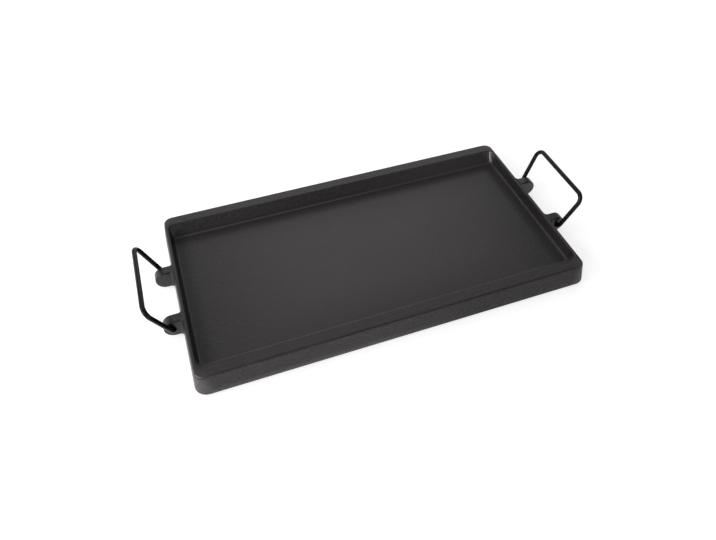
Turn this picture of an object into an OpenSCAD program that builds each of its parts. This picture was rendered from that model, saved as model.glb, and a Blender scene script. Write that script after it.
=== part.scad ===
// Camp griddle plate: one iron casting with a shallow cooking well and four lugs,
// and two bent wire bails that swing in blind holes in the lugs.
// Millimetres, +Z up. The origin is on the resting plane, under the middle of the plate.

/* [Plate] */
// Length over the top outer edges
plate_l = 500; // [380:1:600]
// Width over the top outer edges
plate_w = 276.5; // [200:0.5:340]
// Height from the resting plane to the rim
plate_h = 29.5; // [26:0.5:36]
// Plan radius of the outer corners, at the rim
corner_r = 11; // [10:0.5:24]
// How far the foot of the outer wall stands outside the rim
wall_flare = 4.8; // [1:0.1:7]
// Radius along the rim's outer edge
rim_edge_r = 2.5; // [1:0.25:3.5]
// Radius along the bottom edge
foot_edge_r = 2.2; // [1:0.1:5]

/* [Cooking well] */
// Flat rim along the two ends
end_rim = 4; // [3:0.1:8]
// Flat rim along the two long sides
side_rim = 15.6; // [8:0.1:20]
// Depth of the cooking surface below the rim
well_depth = 15.2; // [9:0.2:17]
// Run of the steep end walls from rim to floor
end_run = 3; // [2.4:0.1:8]
// Run of the sloping side walls from rim to floor
side_run = 11.2; // [8:0.1:18]
// Radius between the walls and the cooking surface
cove_r = 3.5; // [2:0.5:6]
// Radius over the rim's inner edge
lip_r = 1.8; // [0.8:0.2:2.4]
// Plan radius of the well's corners at the rim
well_corner_r = 7; // [5:0.5:12]

/* [Underside] */
// Thickness of the floor under the cooking surface
floor_t = 5.5; // [4:0.5:8]
// Thickness of the skirt at the resting plane
skirt_t = 8; // [6:0.5:12]
// Draft of the recess walls
skirt_draft = 2; // [0.5:0.5:4]
// Radius between the recess walls and the floor's underside
recess_r = 3; // [1:0.5:4]
// Plan radius of the recess corners, at the resting plane
recess_corner_r = 9; // [8.5:0.5:16]

/* [Lugs] */
// Distance between the outer faces of a pair of lugs
lug_span = 95.8; // [76:0.1:130]
// Thickness of a lug along the hinge axis
lug_t = 13.5; // [10:0.5:18]
// Radius of a lug's round end
lug_r = 12.6; // [10:0.2:13]
// Reach of the round end's middle outside the rim
lug_reach = 12.5; // [10:0.1:20]
// Height of the round end's middle over the resting plane
lug_z = 15.9; // [14:0.1:16.4]
// Radius along the edges of a lug
lug_edge_r = 2; // [1:0.25:3]
// Radius where the sides of a lug run into the end wall
lug_root_r = 4.5; // [3:0.5:6]
// How far the hole for the wire lies outside the middle of the round end
hole_out = 1.3; // [0:0.1:3]

/* [Handles] */
// Diameter of the wire
wire_d = 6; // [4:0.25:7]
// Distance from the hinge axis to the middle of the grip
bail_reach = 55.6; // [40:0.2:70]
// Gap between a lug's outer face and the arm beside it, at the hinge axis
arm_gap = 1; // [0.5:0.05:2]
// How much wider the bail is at the grip than at the hinge axis
bail_splay = 11.4; // [0:0.2:14]
// Radius of the bends beside the grip, to the middle of the wire
bail_bend_r = 11; // [8:0.5:16]
// Radius of the bend into the lug, to the middle of the wire
hook_bend_r = 4.5; // [4:0.25:6]
// Length of wire inside the lug
hook_depth = 8; // [5:0.5:9]
// Gap round the wire in its hole
pin_gap = 0.9; // [0.5:0.05:1.5]
// Gap between the end of the wire and the bottom of its hole
end_gap = 0.5; // [0.3:0.1:1]
// Lean of the raised bail over the horizontal
bail_lean = 65.6; // [50:0.2:88]

/* [Hidden] */
$fn = 64;

iron_colour = [0.17, 0.17, 0.165];
wire_colour = [0.06, 0.06, 0.06];

// Points along the arcs of the edge radii
edge_steps = 8;
// Overlap of pieces of one casting, and of a cut past its face
sink = 2;
// How far the end of a lug's root fillet dips under the lug's side
root_dip = 0.1;
// How far a straight run of wire carries on into a bend
run_lap = 0.3;
// How much thicker the wire is in a bend, so that the run's end stays inside
bend_swell = 0.05;

half_l = plate_l / 2;
well_z = plate_h - well_depth;
lug_x = half_l + lug_reach;
hole_d = wire_d + 2 * pin_gap;
hinge_x = lug_x + hole_out;
hinge_z = lug_z;

// Points of an arc, from one angle to another
function arc(c, r, from, to, n = edge_steps) =
    [for (i = [0:n]) let (t = from + (to - from) * i / n) c + r * [cos(t), sin(t)]];

// Wall of a drafted block, from its foot up: offsets from the rim outline, and heights.
// The two edges are rounded to touch the sloping wall.
function flared_wall(flare, h, foot_r, top_r) =
    let (lean = atan(flare / h),
         foot_x = flare - foot_r * tan(lean) - foot_r / cos(lean),
         top_x = top_r * tan(lean) - top_r / cos(lean))
    concat(arc([foot_x, foot_r], foot_r, -90, lean),
           arc([top_x, h - top_r], top_r, lean, 90));

// Solid of a wall profile carried round a rounded rectangle
module walled_block(l, w, r, wall) {
    z0 = wall[0][1];
    z1 = wall[len(wall) - 1][1];
    straight = [l - 2 * r, w - 2 * r];
    function section(inner) = concat([[0, z0]], [for (p = wall) [inner + p[0], p[1]]], [[0, z1]]);
    translate([-straight[0] / 2, -straight[1] / 2, z0])
        cube([straight[0], straight[1], z1 - z0]);
    for (i = [0, 1], j = [0, 1])
        mirror([i, 0, 0])
            mirror([0, j, 0])
                translate([straight[0] / 2, straight[1] / 2, 0])
                    rotate_extrude(angle = 90)
                        polygon(section(r));
    for (i = [0, 1])
        mirror([i, 0, 0])
            translate([straight[0] / 2, straight[1] / 2, 0])
                rotate([90, 0, 0])
                    linear_extrude(straight[1])
                        polygon(section(r));
    for (j = [0, 1])
        mirror([0, j, 0])
            translate([-straight[0] / 2, straight[1] / 2, 0])
                rotate([90, 0, 90])
                    linear_extrude(straight[0])
                        polygon(section(r));
}

module plate_body() {
    walled_block(plate_l, plate_w, corner_r,
                 flared_wall(wall_flare, plate_h, foot_edge_r, rim_edge_r));
}

// How far the well's wall has come in from the rim's inner edge, at a height over its floor.
// Cove at the foot, a straight slope, and a lip rounded over onto the rim.
function well_inset(z, run) =
    let (steep = atan(well_depth / run),
         cove_x = run + cove_r * tan(steep / 2),
         cove_top = cove_r * (1 - cos(steep)),
         lip_x = -lip_r * tan(steep / 2),
         lip_foot = well_depth - lip_r * (1 - cos(steep)))
    z < cove_top ? cove_x - sqrt(max(0, pow(cove_r, 2) - pow(cove_r - z, 2)))
    : z > lip_foot ? lip_x + sqrt(max(0, pow(lip_r, 2) - pow(z - well_depth + lip_r, 2)))
    : run * (1 - z / well_depth);

// Points of a rounded rectangle at one height
function rounded_ring(l, w, r, z) =
    [for (q = [0:3])
        let (sx = q == 0 || q == 3 ? 1 : -1, sy = q < 2 ? 1 : -1)
        for (p = arc([sx * (l / 2 - r), sy * (w / 2 - r)], r, 90 * q, 90 * q + 90)) [p[0], p[1], z]];

// Solid through a stack of rings that all have the same number of points
module ring_stack(rings) {
    n = len(rings[0]);
    last = len(rings) - 1;
    walls = [for (k = [0:last - 1], i = [0:n - 1])
                let (a = k * n + i, b = k * n + (i + 1) % n)
                [a, a + n, b + n, b]];
    polyhedron(points = [for (ring = rings) each ring],
               faces = concat([[for (i = [0:n - 1]) i]],
                              walls,
                              [[for (i = [n - 1:-1:0]) last * n + i]]));
}

// The well as a stack of rings, from the cooking surface to past the rim
module cooking_well() {
    end_steep = atan(well_depth / end_run);
    mouth_l = plate_l - 2 * end_rim;
    mouth_w = plate_w - 2 * side_rim;
    turns = [for (i = [0:edge_steps]) 1 - cos(end_steep * i / edge_steps)];
    levels = concat([for (i = [0:edge_steps]) cove_r * turns[i]],
                    [for (i = [edge_steps:-1:0]) well_depth - lip_r * turns[i]]);
    rings = [for (z = levels)
                rounded_ring(mouth_l - 2 * well_inset(z, end_run),
                             mouth_w - 2 * well_inset(z, side_run),
                             well_corner_r, well_z + z)];
    top = rings[len(rings) - 1];
    ring_stack(concat(rings, [[for (p = top) [p[0], p[1], plate_h + sink]]]));
}

// Recess under the floor, so that the casting has about the same thickness all over
module under_recess() {
    ceiling = well_z - floor_t;
    inset = skirt_t - wall_flare;
    corner = [-skirt_draft - recess_r, sink + ceiling - recess_r];
    translate([0, 0, -sink])
        walled_block(plate_l - 2 * inset, plate_w - 2 * inset, recess_corner_r,
                     concat([[0, 0], [0, sink]], arc(corner, recess_r, 0, 90)));
}

// Outline of half a lug's section: from the hinge line out to its round edge
function lug_section() =
    concat([[0, 0]],
           arc([lug_r - lug_edge_r, lug_edge_r], lug_edge_r, -90, 0),
           arc([lug_r - lug_edge_r, lug_t - lug_edge_r], lug_edge_r, 0, 90),
           [[0, lug_t]]);

// Lug along +X, hinge axis along Y through the origin, from Y 0 to its thickness
module lug_tongue(root) {
    rotate([-90, 0, 0])
        rotate([0, 0, -90])
            rotate_extrude(angle = 180)
                polygon(lug_section());
    for (up = [0, 1])
        mirror([0, 0, up])
            translate([-root, 0, 0])
                rotate([90, 0, 90])
                    linear_extrude(root)
                        polygon([for (p = lug_section()) [p[1], p[0]]]);
}

// Outline of a lug's root, some way out from the leaning end wall and a little wider than the lug
function root_ring(out, grow) =
    [for (p = rounded_ring(lug_t + 2 * grow, 2 * lug_r, lug_edge_r, 0))
        [out - p[1] * wall_flare / plate_h, p[0], p[1]]];

// Hollow fillets down both sides of a lug, which follow the wall's lean and the lug's round edges.
// The last ring dips under the lug's sides.
module lug_root() {
    turns = [for (i = [0:edge_steps]) 90 * i / edge_steps];
    ring_stack(concat([root_ring(-sink, lug_root_r)],
                      [for (a = turns)
                          root_ring(lug_root_r * (1 - cos(a)),
                                    lug_root_r * (1 - sin(a)) - root_dip * sin(a))]));
}

// One lug on the +X end, on the +Y side, with its blind hole from the outer face
module lug() {
    wall_x = half_l + wall_flare * (1 - lug_z / plate_h);
    inner_y = lug_span / 2 - lug_t;
    difference() {
        union() {
            translate([lug_x, inner_y, lug_z])
                lug_tongue(lug_x - wall_x + sink);
            translate([wall_x, inner_y + lug_t / 2, lug_z])
                lug_root();
        }
        translate([hinge_x, lug_span / 2 + sink, hinge_z])
            rotate([90, 0, 0])
                cylinder(d = hole_d, h = hook_depth + end_gap + sink);
    }
}

module griddle_plate() {
    color(iron_colour) {
        difference() {
            plate_body();
            cooking_well();
            under_recess();
        }
        for (i = [0, 1], j = [0, 1])
            mirror([i, 0, 0])
                mirror([0, j, 0])
                    lug();
    }
}

// A straight run of wire between two points of the bail's plane, lapped into what it joins
module wire_run(from, to) {
    d = to - from;
    translate([from[0], from[1], 0])
        rotate([0, 0, atan2(d[1], d[0])])
            rotate([0, 90, 0])
                translate([0, 0, -run_lap])
                    cylinder(d = wire_d, h = norm(d) + 2 * run_lap);
}

// A bend of the wire round a centre in the bail's plane, a hair thicker than the runs in it
module wire_bend(centre, r, from, to) {
    translate([centre[0], centre[1], 0])
        rotate([0, 0, from])
            rotate_extrude(angle = to - from)
                translate([r, 0])
                    circle(d = wire_d + bend_swell);
}

// Bail in the XY plane: hinge axis along Y through the origin, grip at +X
module bail() {
    splay = atan(bail_splay / 2 / bail_reach);
    arm_y = lug_span / 2 + arm_gap + wire_d / 2;
    hook_x = hook_bend_r * (1 - sin(splay));
    hook_y = arm_y + hook_x * tan(splay) - hook_bend_r * cos(splay);
    arm_from = [hook_x, hook_y + hook_bend_r * cos(splay)];
    bend_x = bail_reach - bail_bend_r;
    bend_y = arm_y + (bend_x * sin(splay) - bail_bend_r) / cos(splay);
    arm_to = [bend_x, bend_y] + bail_bend_r * [-sin(splay), cos(splay)];
    hook_from = lug_span / 2 - hook_depth;
    wire_run([bail_reach, -bend_y], [bail_reach, bend_y]);
    for (side = [0, 1])
        mirror([0, side, 0]) {
            wire_bend([bend_x, bend_y], bail_bend_r, 0, 90 + splay);
            wire_run(arm_from, arm_to);
            wire_bend([hook_bend_r, hook_y], hook_bend_r, 90 + splay, 180);
            wire_run([0, hook_from + run_lap], [0, hook_y]);
        }
}

module right_handle() {
    color(wire_colour)
        translate([hinge_x, 0, hinge_z])
            rotate([0, -bail_lean, 0])
                bail();
}

module left_handle() {
    color(wire_colour)
        mirror([1, 0, 0])
            translate([hinge_x, 0, hinge_z])
                rotate([0, -bail_lean, 0])
                    bail();
}

griddle_plate();
left_handle();
right_handle();
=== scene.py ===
"""Looks of the camp griddle plate: an iron casting with two swinging wire bails."""

from __future__ import annotations

import logging
import math
import operator
from dataclasses import dataclass, fields
from enum import Enum
from functools import cached_property, reduce
from typing import Any, Iterable, Union

import bmesh
import bpy
from mathutils import Euler, Matrix, Vector


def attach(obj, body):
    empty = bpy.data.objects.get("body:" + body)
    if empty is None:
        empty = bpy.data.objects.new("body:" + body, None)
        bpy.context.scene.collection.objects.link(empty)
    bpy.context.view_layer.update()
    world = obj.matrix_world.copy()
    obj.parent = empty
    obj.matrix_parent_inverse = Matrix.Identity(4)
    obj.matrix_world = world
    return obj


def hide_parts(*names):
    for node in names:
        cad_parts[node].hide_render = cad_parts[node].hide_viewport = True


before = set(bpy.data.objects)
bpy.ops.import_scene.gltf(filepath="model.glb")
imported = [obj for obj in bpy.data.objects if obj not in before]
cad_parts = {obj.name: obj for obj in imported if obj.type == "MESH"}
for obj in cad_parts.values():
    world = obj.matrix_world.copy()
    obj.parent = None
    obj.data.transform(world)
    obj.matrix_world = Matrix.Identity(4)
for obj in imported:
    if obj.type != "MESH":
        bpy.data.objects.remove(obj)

LOG = logging.getLogger("griddle")
MM = 0.001
# Points of a mesh that lie closer than this are one point
WELD = 0.001 * MM
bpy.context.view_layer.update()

Colour = tuple[float, float, float, float]
Span = tuple[float, ...]
Stops = Iterable[tuple[float, float]]
Edges = list[bmesh.types.BMEdge]
Value = Union[float, "Signal"]

WHITE: Colour = (1.0, 1.0, 1.0, 1.0)
# The value around which a noise pattern lies
NOISE_MIDDLE = 0.5


class Side(Enum):
    """The end of the plate that a bail hangs on, as the sign of its X."""

    LEFT = -1
    RIGHT = 1


class Signal:
    """A shader socket that takes part in Python arithmetic."""

    def __init__(self, paint: "Paint", socket: bpy.types.NodeSocket) -> None:
        """Keeps the socket and the node tree that it belongs to.

        Args:
            paint: The material under construction.
            socket: An output socket of one of its nodes.
        """
        self.paint = paint
        self.socket = socket

    def _math(self, operation: str, first: Value, second: Value) -> "Signal":
        """Adds one Math node.

        Args:
            operation: The node's operation.
            first: Its first value.
            second: Its second value.

        Returns:
            The node's result.
        """
        return self.paint.node("ShaderNodeMath", {"operation": operation}, {0: first, 1: second})

    def __add__(self, other: Value) -> "Signal":
        """Sum."""
        return self._math("ADD", self, other)

    __radd__ = __add__

    def __sub__(self, other: Value) -> "Signal":
        """Difference."""
        return self._math("SUBTRACT", self, other)

    def __rsub__(self, other: Value) -> "Signal":
        """Difference from a number."""
        return self._math("SUBTRACT", other, self)

    def __mul__(self, other: Value) -> "Signal":
        """Product."""
        return self._math("MULTIPLY", self, other)

    __rmul__ = __mul__

    def __abs__(self) -> "Signal":
        """Size without sign."""
        return self._math("ABSOLUTE", self, 0.0)


@dataclass(frozen=True)
class Mottle:
    """A noise pattern: its scale, its octaves and the weight of the finer ones."""

    per_m: float
    octaves: float = 2.0
    fineness: float = 0.5


class Paint:
    """A node material with one Principled shader."""

    # Sockets of a Mix node that are used for colours
    MIX_SHARE, MIX_FIRST, MIX_SECOND, MIX_RESULT = 0, 6, 7, 2

    def __init__(self, name: str) -> None:
        """Starts an empty material.

        Args:
            name: The material's name.
        """
        self.material = bpy.data.materials.new(name)
        self.material.use_nodes = True
        self.tree = self.material.node_tree
        self.tree.nodes.clear()
        self.shader = self.tree.nodes.new("ShaderNodeBsdfPrincipled")
        output = self.tree.nodes.new("ShaderNodeOutputMaterial")
        self.tree.links.new(self.shader.outputs[0], output.inputs["Surface"])

    @cached_property
    def place(self) -> Signal:
        """The piece's own coordinates, in metres."""
        return self.node("ShaderNodeTexCoord", output="Object")

    @cached_property
    def x(self) -> Signal:
        """Place along the plate, from left to right."""
        return self._axis("X")

    @cached_property
    def y(self) -> Signal:
        """Place across the plate, from front to back."""
        return self._axis("Y")

    @cached_property
    def up(self) -> Signal:
        """Height over the resting plane."""
        return self._axis("Z")

    @cached_property
    def along(self) -> Signal:
        """Distance along the plate from its middle."""
        return abs(self.x)

    @cached_property
    def across(self) -> Signal:
        """Distance across the plate from its middle."""
        return abs(self.y)

    @cached_property
    def reach(self) -> Signal:
        """Sum of both distances, which is largest at the corners."""
        return self.along + self.across

    def _axis(self, name: str) -> Signal:
        """One of the piece's own coordinates.

        Args:
            name: X, Y or Z.

        Returns:
            The coordinate, in metres.
        """
        return self.node("ShaderNodeSeparateXYZ", {}, {"Vector": self.place}, name)

    def node(self, kind: str, settings: dict[str, Any] | None = None,
             inputs: dict[Any, Any] | None = None, output: Any = 0) -> Signal:
        """Adds a node, sets it up and feeds it.

        Args:
            kind: The node's type.
            settings: Its attributes; "stops" are a colour ramp's positions and greys.
            inputs: Values or signals for its sockets, by name or number.
            output: The socket to return, by name or number.

        Returns:
            The chosen output.
        """
        node = self.tree.nodes.new(kind)
        for key, value in (settings or {}).items():
            if key == "stops":
                self._stops(node.color_ramp, value)
            else:
                setattr(node, key, value)
        for key, value in (inputs or {}).items():
            self.feed(node.inputs[key], value)
        return Signal(self, node.outputs[output])

    @staticmethod
    def _stops(ramp: bpy.types.ColorRamp, stops: Stops) -> None:
        """Sets the stops of a grey colour ramp.

        Args:
            ramp: The ramp, with its two first stops.
            stops: Positions and greys.
        """
        for index, (position, grey) in enumerate(stops):
            stop = ramp.elements[index] if index < 2 else ramp.elements.new(position)
            stop.position = position
            stop.color = (grey, grey, grey, 1.0)

    def feed(self, socket: bpy.types.NodeSocket, value: Any) -> None:
        """Links a signal to a socket, or sets the socket's own value.

        Args:
            socket: The input socket.
            value: A signal, a number or a colour.
        """
        if isinstance(value, Signal):
            self.tree.links.new(value.socket, socket)
        else:
            socket.default_value = value

    def noise(self, mottle: Mottle) -> Signal:
        """Noise on the piece's own coordinates.

        Args:
            mottle: The pattern.

        Returns:
            The noise, from 0 to 1 around one half.
        """
        return self.node("ShaderNodeTexNoise", {},
                         {"Vector": self.place, "Scale": mottle.per_m,
                          "Detail": mottle.octaves, "Roughness": mottle.fineness})

    def ramp(self, value: Signal, stops: Stops) -> Signal:
        """A value through a grey ramp.

        Args:
            value: The value to map.
            stops: Positions and greys.

        Returns:
            The mapped value.
        """
        return self.node("ShaderNodeValToRGB", {"stops": stops}, {"Fac": value})

    def fade(self, value: Signal, start: float, end: float) -> Signal:
        """A share that grows smoothly from 0 to 1.

        Args:
            value: A coordinate, in metres.
            start: Where the share is 0, in millimetres.
            end: Where it is 1; it may lie on either side of the start.

        Returns:
            The share.
        """
        low, high = min(start, end) * MM, max(start, end) * MM
        grows = float(end > start)
        return self.node("ShaderNodeMapRange", {"interpolation_type": "SMOOTHSTEP"},
                         {"Value": value, "From Min": low, "From Max": high,
                          "To Min": 1.0 - grows, "To Max": grows})

    def span(self, value: Signal, places: Span) -> Signal:
        """A share that fades in over two places, or in and out again over four.

        Args:
            value: A coordinate, in metres.
            places: Where the share is 0 and then 1, in millimetres, and where it leaves 1 and is 0 again.

        Returns:
            The share.
        """
        share = self.fade(value, *places[:2])
        if len(places) > 2:
            last, end = places[2:]
            share = share * self.fade(value, end, last)
        return share

    def mix(self, share: Value, first: Any, second: Any) -> Signal:
        """A mix of two colours.

        Args:
            share: The share of the second colour.
            first: The first colour.
            second: The second colour.

        Returns:
            The mixed colour.
        """
        return self.node("ShaderNodeMix", {"data_type": "RGBA"},
                         {self.MIX_SHARE: share, self.MIX_FIRST: first, self.MIX_SECOND: second},
                         self.MIX_RESULT)

    def bump(self, height: Signal, distance: float, strength: float) -> Signal:
        """A normal tilted by a height.

        Args:
            height: The height, as a share of the distance.
            distance: The full height, in metres.
            strength: How much of the tilt is kept.

        Returns:
            The normal.
        """
        return self.node("ShaderNodeBump", {},
                         {"Strength": strength, "Distance": distance, "Height": height})

    def finish(self, **sockets: Any) -> bpy.types.Material:
        """Feeds the shader's sockets.

        Args:
            sockets: Values or signals by socket name, with _ for a space.

        Returns:
            The finished material.
        """
        for key, value in sockets.items():
            self.feed(self.shader.inputs[key.replace("_", " ")], value)
        return self.material


@dataclass(frozen=True)
class Zone:
    """A part of the casting's surface, by the millimetres over which it fades in and out.

    Its fields are named for the coordinates of Paint. A coordinate without a span doesn't bound the zone.
    """

    x: Span = ()
    y: Span = ()
    up: Span = ()
    along: Span = ()
    across: Span = ()
    reach: Span = ()

    def share(self, paint: Paint) -> Signal:
        """How far a point belongs to the zone.

        Args:
            paint: The material under construction.

        Returns:
            The product of the shares of its spans.
        """
        bounds = {field.name: getattr(self, field.name) for field in fields(self)}
        return reduce(operator.mul, [paint.span(getattr(paint, name), places)
                                     for name, places in bounds.items() if places])


@dataclass(frozen=True)
class IronFinish:
    """Seasoned cast iron: dark, slightly oily, with a sand-cast grain.

    The middle of the cooking surface is painted paler, as painted light away from the walls. Painted shade
    darkens the floor along the foot of the back wall and the end walls and towards the ends of the well,
    and the long outer walls, more towards the right; the lugs are darker too. Painted light lightens the
    outer foot as a painted reflection of the floor, the cove as a painted highlight and the walls beside
    the back right corner; the outer corners are lighter too. Oil lies in the well's upright corners, and
    the rim's outer corners are polished by handling.
    """

    dark: Colour = (0.0070, 0.0058, 0.0064, 1.0)
    light: Colour = (0.0135, 0.0115, 0.0124, 1.0)
    # Painted light: a paler colour for the middle of the cooking surface, away from the walls
    painted_floor_light: Colour = (0.0240, 0.0215, 0.0225, 1.0)
    # Painted shade: a near-black colour for the floor by the walls, the well's ends and the long outer
    # walls; it also darkens the lugs
    painted_shade_and_darkening: Colour = (0.0040, 0.0035, 0.0038, 1.0)
    # Painted light: a pale colour for a painted reflection on the outer foot, a painted highlight in the
    # cove and painted light by the back right corner; it also lightens the outer corners
    painted_light_and_lightening: Colour = (0.0620, 0.0540, 0.0545, 1.0)
    grit: Colour = (0.0200, 0.0172, 0.0182, 1.0)
    sheen: Colour = (1.0, 0.95, 0.97, 1.0)

    # The painted light in the middle of the cooking surface, paler away from the walls, and the surface as
    # a whole
    lit_floor_middle: Zone = Zone(up=(18.5, 16.5), along=(225, 50), across=(112, 44))
    cooked_floor: Zone = Zone(up=(19.5, 17.5), along=(245, 243.5), across=(115.5, 113.5))

    # The border of the cooking surface at the foot of the back wall and the end walls, where shade is
    # painted on the floor and the surface is duller
    gutter_floor: Zone = Zone(up=(20, 18))
    back_gutter: Zone = Zone(y=(87, 107, 108.5, 110), along=(242, 240))
    right_gutter: Zone = Zone(x=(220, 236, 239.5, 241), across=(112, 110))
    left_gutter: Zone = Zone(x=(-242, -240.5, -236, -220), across=(112, 110))
    left_gutter_weight: float = 0.35

    # Where shade is painted: towards the ends of the well and on the long outer walls, less towards the
    # left; the lugs are darker too
    well_ends: Zone = Zone(along=(150, 236, 244.5, 247), across=(128, 124))
    long_walls: Zone = Zone(across=(136.8, 138.6))
    long_walls_right: Zone = Zone(x=(-120, 120))
    long_walls_least: float = 0.65
    lugs: Zone = Zone(along=(251, 254))

    # Where light is painted: a reflection of the floor along the outer foot, a highlight in the cove and
    # light on the walls beside the back right corner, with lighter outer corners; and the stretches where
    # less or more of it is painted
    foot: Zone = Zone(up=(11, 2), across=(133, 135))
    foot_dimmer: Zone = Zone(x=(-60, 110))
    foot_dimmer_weight: float = 0.85
    foot_brighter: Zone = Zone(x=(150, 250))
    foot_brighter_weight: float = 0.2
    outer_corners: Zone = Zone(up=(27, 24), reach=(372, 382))
    outer_corners_dimmer: Zone = Zone(x=(-99, 99))
    outer_corners_dimmer_weight: float = 0.5
    cove: Zone = Zone(up=(19, 17), along=(242, 239), across=(108.8, 109.8, 111, 112.2))
    cove_weight: float = 0.45
    cove_dimmer: Zone = Zone(x=(-20, 100))
    cove_dimmer_weight: float = 0.3
    right_wall: Zone = Zone(x=(235, 239, 245.5, 247.5), across=(35, 75))
    right_wall_weight: float = 0.1
    back_wall: Zone = Zone(x=(-30, 200), y=(108, 111, 122.5, 125), along=(250, 246))
    back_wall_weight: float = 0.3

    # Oil in the upright corners of the well, and the polished corners of the rim's outer edge
    well_corners: Zone = Zone(up=(29, 27.5), along=(249, 247.5), across=(127, 125),
                              reach=(350, 356, 366, 369))
    rim_corners: Zone = Zone(up=(27.8, 28.4, 29.3, 29.6), reach=(368, 376))
    oil_roughness: float = 0.2

    # Patches in the seasoning, the cast grain and its pits, and how they tint the iron
    patches: Mottle = Mottle(14.0, 4.0, 0.6)
    grain: Mottle = Mottle(680.0, 3.0, 0.55)
    pits: Mottle = Mottle(300.0)
    tone_patches: float = 0.7
    tone_stops: Stops = ((0.3, 0.0), (0.7, 1.0))
    speckle_grain: float = 0.55
    speckle_stops: Stops = ((0.46, 0.0), (0.58, 1.0))
    speckle_in_shade: float = 0.3
    speckle_weight: float = 0.9

    # Height of the grain, and the zones where it is finer
    relief_grain: float = 0.5
    grain_height: float = 3.6 * MM
    grain_strength: float = 0.6
    rim_top: Zone = Zone(up=(28, 29.4))
    end_walls: Zone = Zone(up=(29.4, 28.5), along=(242.5, 243.5, 246.5, 248))
    floor_smoothing: float = 0.65
    rim_smoothing: float = 0.45
    lug_smoothing: float = 0.6
    corner_smoothing: float = 0.9
    end_wall_smoothing: float = 0.8

    # Roughness, and the zones that are duller or shinier
    roughness: float = 0.36
    patch_roughness: float = 0.1
    grain_roughness: float = 0.06
    gutter_roughness: float = 0.3
    front_face: Zone = Zone(x=(-60, 140), y=(-137, -138.5))
    front_lip: Zone = Zone(y=(-123.6, -122.6, -120.4, -119), up=(20, 24))
    front_roughness: float = 0.2
    corner_polish: float = 0.3
    lug_polish: float = 0.16

    def _gutter(self, paint: Paint) -> Signal:
        """The border of the cooking surface, along the foot of the back wall and the end walls.

        Args:
            paint: The material under construction.

        Returns:
            Its share.
        """
        back = self.back_gutter.share(paint)
        ends = self.right_gutter.share(paint) + self.left_gutter_weight * self.left_gutter.share(paint)
        return (back + ends - back * ends) * self.gutter_floor.share(paint)

    def _painted_shade(self, paint: Paint, gutter: Signal) -> Signal:
        """Where shade is painted: along the gutter, towards the ends of the well and on the long outer
        walls; the lugs are darker too.

        Args:
            paint: The material under construction.
            gutter: The border of the cooking surface.

        Returns:
            Its share, most at the ends of the well, on the long outer walls and on the lugs.
        """
        rightwards = (1.0 - self.long_walls_least) * self.long_walls_right.share(paint)
        walls = self.long_walls.share(paint) * (self.long_walls_least + rightwards)
        return self.well_ends.share(paint) + walls + gutter + self.lugs.share(paint)

    def _painted_light(self, paint: Paint) -> Signal:
        """Where light is painted: a reflection of the floor along the outer foot, a highlight in the cove
        and light beside the back right corner; the outer corners are lighter too.

        Args:
            paint: The material under construction.

        Returns:
            Its share, most along the foot of the long sides and on the corners.
        """
        uneven = (1.0 - self.foot_dimmer_weight * self.foot_dimmer.share(paint)
                  + self.foot_brighter_weight * self.foot_brighter.share(paint))
        dimmer = self.outer_corners_dimmer_weight * self.outer_corners_dimmer.share(paint)
        cove = self.cove_weight - self.cove_dimmer_weight * self.cove_dimmer.share(paint)
        return (self.foot.share(paint) * uneven
                + self.outer_corners.share(paint) * (1.0 - dimmer)
                + self.cove.share(paint) * cove
                + self.right_wall_weight * self.right_wall.share(paint)
                + self.back_wall_weight * self.back_wall.share(paint))

    def _coarseness(self, paint: Paint, corner: Signal) -> Signal:
        """How coarse the cast skin is: most on the walls, least on the cooking surface and in its corners.

        Args:
            paint: The material under construction.
            corner: The upright corners of the well.

        Returns:
            The height of its grain, as a multiple.
        """
        smooth = (self.floor_smoothing * self.cooked_floor.share(paint)
                  + self.rim_smoothing * self.rim_top.share(paint)
                  + self.lug_smoothing * self.lugs.share(paint))
        return (1.0 - smooth) * (1.0 - self.corner_smoothing * corner)

    def _dullness(self, paint: Paint, corner: Signal, gutter: Signal) -> Signal:
        """The roughness that the zones add: more in the gutter and at the front, less where it is polished.

        Args:
            paint: The material under construction.
            corner: The upright corners of the well.
            gutter: The border of the cooking surface.

        Returns:
            The added roughness, which may be under 0.
        """
        front = self.front_face.share(paint) + self.front_lip.share(paint)
        return (self.gutter_roughness * gutter + self.front_roughness * front
                - self.corner_polish * corner - self.lug_polish * self.lugs.share(paint))

    def material(self) -> bpy.types.Material:
        """The finish as a material.

        Returns:
            The material.
        """
        paint = Paint("seasoned_iron")
        patches, grain, pits = [paint.noise(mottle) for mottle in (self.patches, self.grain, self.pits)]
        corner = self.well_corners.share(paint)
        gutter = self._gutter(paint)
        coarse = self._coarseness(paint, corner)

        tone = patches * self.tone_patches + grain * (1.0 - self.tone_patches)
        sand = grain * self.speckle_grain + pits * (1.0 - self.speckle_grain)
        speckle = paint.ramp(sand, self.speckle_stops) * coarse
        shaded = self._painted_shade(paint, gutter) * (1.0 - self.speckle_in_shade * speckle)
        iron = paint.mix(paint.ramp(tone, self.tone_stops), self.dark, self.light)
        # Painted light: the middle of the cooking surface is painted paler, away from the walls
        iron = paint.mix(self.lit_floor_middle.share(paint), iron, self.painted_floor_light)
        # Painted shade along the foot of the walls, towards the ends of the well and on the long outer
        # walls; the lugs are darker too
        iron = paint.mix(shaded, iron, self.painted_shade_and_darkening)
        iron = paint.mix(speckle * self.speckle_weight, iron, self.grit)
        # Painted light: a painted reflection along the outer foot, a painted highlight in the cove and
        # painted light beside the back right corner; the outer corners are lighter too
        iron = paint.mix(self._painted_light(paint), iron, self.painted_light_and_lightening)

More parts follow.
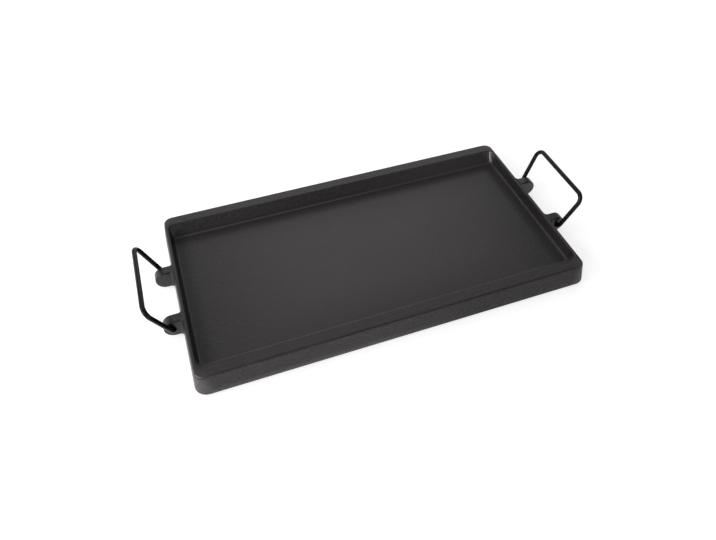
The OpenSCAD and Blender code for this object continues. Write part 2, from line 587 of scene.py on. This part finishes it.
        flat = 1.0 - self.end_wall_smoothing * self.end_walls.share(paint)
        skin = grain * self.relief_grain + pits * (1.0 - self.relief_grain) - NOISE_MIDDLE
        relief = paint.bump(skin * coarse * flat, self.grain_height, self.grain_strength)
        roughness = (self.roughness + self.patch_roughness * patches + self.grain_roughness * grain
                     + self._dullness(paint, corner, gutter))
        return paint.finish(Base_Color=iron, Roughness=roughness, Specular_Tint=self.sheen,
                            Coat_Weight=corner + self.rim_corners.share(paint),
                            Coat_Roughness=self.oil_roughness, Normal=relief)


@dataclass(frozen=True)
class WireFinish:
    """Drawn wire, blackened and lightly worn."""

    black: Colour = (0.0045, 0.0036, 0.0036, 1.0)
    worn: Colour = (0.018, 0.0135, 0.0125, 1.0)
    sheen: Colour = (1.0, 0.86, 0.88, 1.0)
    gloss: float = 0.2
    roughness: float = 0.16
    wear: Mottle = Mottle(160.0, 4.0, 0.6)
    wear_stops: Stops = ((0.45, 0.0), (0.75, 1.0))
    wear_roughness: float = 0.12
    grain: Mottle = Mottle(1800.0)
    grain_height: float = 0.06 * MM
    grain_strength: float = 0.4

    def material(self) -> bpy.types.Material:
        """The finish as a material.

        Returns:
            The material.
        """
        paint = Paint("black_wire")
        wear = paint.noise(self.wear)
        colour = paint.mix(paint.ramp(wear, self.wear_stops), self.black, self.worn)
        relief = paint.bump(paint.noise(self.grain), self.grain_height, self.grain_strength)
        return paint.finish(Base_Color=colour, Roughness=self.roughness + self.wear_roughness * wear,
                            Specular_IOR_Level=self.gloss, Specular_Tint=self.sheen, Normal=relief)


@dataclass(frozen=True)
class StageFinish:
    """A plain, evenly glowing surface of the studio."""

    name: str
    albedo: float
    roughness: float
    gloss: float
    glow: float

    def material(self) -> bpy.types.Material:
        """The finish as a material.

        Returns:
            The material.
        """
        return Paint(self.name).finish(Base_Color=(self.albedo, self.albedo, self.albedo, 1.0),
                                       Roughness=self.roughness, Specular_IOR_Level=self.gloss,
                                       Emission_Color=WHITE, Emission_Strength=self.glow)


def place_mesh(name: str, bm: bmesh.types.BMesh) -> bpy.types.Object:
    """Puts a finished mesh into the scene.

    Args:
        name: The name of the object and its mesh.
        bm: The mesh, which is freed.

    Returns:
        The object.
    """
    mesh = bpy.data.meshes.new(name)
    bm.to_mesh(mesh)
    bm.free()
    piece = bpy.data.objects.new(name, mesh)
    bpy.context.scene.collection.objects.link(piece)
    return piece


@dataclass
class PlateCasting:
    """The tray with its rim and lugs, one casting."""

    node: str = "griddle_plate"

    def dress(self, finish: bpy.types.Material) -> None:
        """Gives the casting its finish.

        Args:
            finish: The iron.
        """
        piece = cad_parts[self.node]
        piece.data.materials.clear()
        piece.data.materials.append(finish)
        LOG.info("%s dressed", self.node)


@dataclass
class WireBail:
    """A bail bent from one wire, from its grip round to the ends inside the lugs.

    Lengths run to the middle of the wire. The arms' place is given at the hinge axis.
    """

    side: Side
    wire_d: float = 6.0 * MM
    reach: float = 55.6 * MM
    arm_y: float = 51.9 * MM
    widening: float = 5.7 * MM
    grip_bend_r: float = 11.0 * MM
    hook_bend_r: float = 4.5 * MM
    hook_end_y: float = 39.9 * MM
    end_bevel: float = 0.8 * MM
    hinge: tuple[float, float] = (263.8 * MM, 15.9 * MM)
    lean_deg: float = 65.6
    ring: int = 28
    grip_bend_steps: int = 14
    hook_bend_steps: int = 10
    bevel_steps: int = 3

    @property
    def name(self) -> str:
        """The CAD node and body that the bail stands for."""
        return self.side.name.lower() + "_handle"

    def _run(self, bm: bmesh.types.BMesh, edges: Edges, step: Vector) -> Edges:
        """Draws the wire's open end straight on.

        Args:
            bm: The bail's mesh.
            edges: The edges of the open end.
            step: How far, and which way.

        Returns:
            The edges of the new open end.
        """
        new = bmesh.ops.extrude_edge_only(bm, edges=edges)["geom"]
        bmesh.ops.translate(bm, verts=[v for v in new if isinstance(v, bmesh.types.BMVert)], vec=step)
        return [e for e in new if isinstance(e, bmesh.types.BMEdge)
                and all(v in new for v in e.verts)]

    def _bend(self, bm: bmesh.types.BMesh, edges: Edges, centre: Vector, turn: float, steps: int) -> Edges:
        """Bends the wire's open end round a centre in the bail's plane.

        Args:
            bm: The bail's mesh.
            edges: The edges of the open end.
            centre: The middle of the bend.
            turn: Its angle, positive against the clock.
            steps: Its segments.

        Returns:
            The edges of the new open end.
        """
        verts = list({v for e in edges for v in e.verts})
        last = bmesh.ops.spin(bm, geom=verts + edges, cent=centre, axis=(0, 0, 1), angle=turn,
                              steps=steps, use_merge=False, use_duplicate=False)["geom_last"]
        return [e for e in last if isinstance(e, bmesh.types.BMEdge)]

    def _half(self, bm: bmesh.types.BMesh) -> None:
        """Draws half of the bail flat, from the middle of its grip to the end of the wire.

        Args:
            bm: The bail's mesh, still empty.
        """
        splay = math.atan(self.widening / self.reach)
        bend = Vector((self.reach - self.grip_bend_r, 0, 0))
        bend.y = self.arm_y + (bend.x * math.sin(splay) - self.grip_bend_r) / math.cos(splay)
        hook = Vector((self.hook_bend_r, 0, 0))
        hook.y = (self.arm_y + self.hook_bend_r * (1 - math.sin(splay)) * math.tan(splay)
                  - self.hook_bend_r * math.cos(splay))
        across = Vector((-math.sin(splay), math.cos(splay), 0))
        arm = (hook + self.hook_bend_r * across) - (bend + self.grip_bend_r * across)

        turned = Matrix.Translation((self.reach, 0, 0)) @ Matrix.Rotation(math.pi / 2, 4, "X")
        bmesh.ops.create_circle(bm, segments=self.ring, radius=self.wire_d / 2, matrix=turned)
        end = self._run(bm, list(bm.edges), Vector((0, bend.y, 0)))
        end = self._bend(bm, end, bend, math.pi / 2 + splay, self.grip_bend_steps)
        end = self._run(bm, end, arm)
        end = self._bend(bm, end, hook, math.pi / 2 - splay, self.hook_bend_steps)
        end = self._run(bm, end, Vector((0, self.hook_end_y - hook.y, 0)))
        cap = bmesh.ops.contextual_create(bm, geom=end)["faces"]
        bmesh.ops.bevel(bm, geom=list(cap[0].edges), offset=self.end_bevel, offset_type="OFFSET",
                        segments=self.bevel_steps, profile=0.5, affect="EDGES", material=-1)

    def build(self) -> bpy.types.Object:
        """Models the bail and puts it in place.

        Returns:
            The bail.
        """
        bm = bmesh.new()
        self._half(bm)
        bmesh.ops.mirror(bm, geom=bm.verts[:] + bm.edges[:] + bm.faces[:], axis="Y", merge_dist=WELD)
        bmesh.ops.remove_doubles(bm, verts=bm.verts, dist=WELD)
        raised = (Matrix.Translation((self.hinge[0], 0, self.hinge[1]))
                  @ Matrix.Rotation(-math.radians(self.lean_deg), 4, "Y"))
        bmesh.ops.transform(bm, matrix=raised, verts=bm.verts)
        bmesh.ops.scale(bm, vec=(self.side.value, 1, 1), verts=bm.verts)
        bmesh.ops.recalc_face_normals(bm, faces=bm.faces)
        for face in bm.faces:
            face.smooth = True
        piece = place_mesh(self.name + "_wire", bm)
        LOG.info("%s bent, %d faces", piece.name, len(piece.data.polygons))
        return piece

    def dress(self, piece: bpy.types.Object, finish: bpy.types.Material) -> None:
        """Gives the bail its finish and hangs it on its body.

        Args:
            piece: The bail.
            finish: The wire's finish.
        """
        piece.data.materials.append(finish)
        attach(piece, self.name)
        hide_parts(self.name)


@dataclass(frozen=True)
class Softbox:
    """A square soft light that faces the plate, its azimuth counted from the back towards the right."""

    name: str
    azimuth_deg: float
    elevation_deg: float
    size: float
    radiance: float
    distance: float = 2.5

    def hang(self) -> None:
        """Hangs the light, with the power that gives its radiance."""
        around, up = math.radians(self.azimuth_deg), math.radians(self.elevation_deg)
        away = Vector((math.sin(around) * math.cos(up), math.cos(around) * math.cos(up), math.sin(up)))
        lamp = bpy.data.lights.new(self.name, "AREA")
        lamp.shape = "SQUARE"
        lamp.size = self.size
        lamp.energy = math.pi * self.size ** 2 * self.radiance
        box = bpy.data.objects.new(self.name, lamp)
        box.location = away * self.distance
        box.rotation_euler = (-away).to_track_quat("-Z", "Y").to_euler()
        box.visible_camera = False
        bpy.context.scene.collection.objects.link(box)


@dataclass
class Studio:
    """Pale glowing floor, pale backdrop, soft lights and the camera."""

    eye: tuple[float, float, float] = (-0.18805, -0.55651, 0.61631)
    tilt_deg: float = 42.368
    heading_deg: float = -20.283
    roll_deg: float = 0.05
    sensor_mm: float = 36.0
    lens: float = 31.285
    shift_x: float = -0.0303
    floor_half: float = 6.0
    floor_drop: float = 0.5 * MM
    floor_finish: StageFinish = StageFinish("pale_floor", albedo=0.58, roughness=0.8,
                                            gloss=0.5, glow=0.66)
    dome_r: float = 5.5
    dome_segments: int = 48
    dome_rings: int = 24
    dome_finish: StageFinish = StageFinish("pale_backdrop", albedo=0.0, roughness=1.0,
                                           gloss=0.0, glow=0.85)
    surroundings: float = 0.3
    lights: tuple[Softbox, ...] = (
        Softbox("back_low", 0, 8, 1.0, 0.75),
        Softbox("back_low_right", 30, 8, 1.0, 0.65),
        Softbox("back_mid", 0, 32, 1.1, 1.0),
        Softbox("back_mid_right", 30, 32, 1.1, 1.02),
        Softbox("back_high", 0, 57, 1.15, 1.0),
        Softbox("back_high_right", 45, 57, 1.15, 0.27),
        Softbox("left_key", 232, 30, 0.9, 5.2),
        Softbox("left_side", 270, 32, 1.1, 5.8),
        Softbox("left_high", 285, 68, 0.8, 1.5),
        Softbox("left_low", 255, 7, 0.35, 10.0),
        Softbox("back_left_low", 318, 15, 0.8, 1.6),
    )

    def floor(self) -> None:
        """Lays the floor just under the plate."""
        bm = bmesh.new()
        bmesh.ops.create_grid(bm, x_segments=1, y_segments=1, size=self.floor_half)
        bmesh.ops.translate(bm, verts=bm.verts, vec=(0, 0, -self.floor_drop))
        ground = place_mesh("floor", bm)
        ground.data.materials.append(self.floor_finish.material())

    def backdrop(self) -> None:
        """Closes the view beyond the floor with a pale dome that sheds no light."""
        bm = bmesh.new()
        bmesh.ops.create_uvsphere(bm, u_segments=self.dome_segments, v_segments=self.dome_rings,
                                  radius=self.dome_r)
        bmesh.ops.reverse_faces(bm, faces=bm.faces)
        dome = place_mesh("backdrop", bm)
        dome.data.materials.append(self.dome_finish.material())
        for ray in ("diffuse", "glossy", "transmission", "volume_scatter", "shadow"):
            setattr(dome, "visible_" + ray, False)

    def light(self) -> None:
        """Hangs the lights in an evenly lit room."""
        for softbox in self.lights:
            softbox.hang()
        world = bpy.data.worlds.new("studio")
        world.use_nodes = True
        room = world.node_tree.nodes["Background"]
        room.inputs["Color"].default_value = WHITE
        room.inputs["Strength"].default_value = self.surroundings
        bpy.context.scene.world = world
        bpy.context.scene.view_settings.view_transform = "Standard"
        LOG.info("studio lit by %d softboxes", len(self.lights))

    def camera(self) -> None:
        """Stands the camera where the photograph was taken."""
        data = bpy.data.cameras.new("camera")
        data.sensor_fit = "HORIZONTAL"
        data.sensor_width = self.sensor_mm
        data.lens = self.lens
        data.shift_x = self.shift_x
        eye = bpy.data.objects.new("camera", data)
        eye.location = self.eye
        aim = Euler((math.radians(self.tilt_deg), 0.0, math.radians(self.heading_deg))).to_matrix()
        eye.rotation_euler = (aim @ Matrix.Rotation(math.radians(self.roll_deg), 3, "Z")).to_euler()
        bpy.context.scene.collection.objects.link(eye)
        bpy.context.scene.camera = eye


def main() -> None:
    """Builds and dresses the pieces, then sets up the studio."""
    logging.basicConfig(level=logging.INFO)
    iron = IronFinish().material()
    wire = WireFinish().material()
    PlateCasting().dress(iron)
    for side in Side:
        bail = WireBail(side)
        bail.dress(bail.build(), wire)
    studio = Studio()
    studio.floor()
    studio.backdrop()
    studio.light()
    studio.camera()


if __name__ == "__main__":
    main()
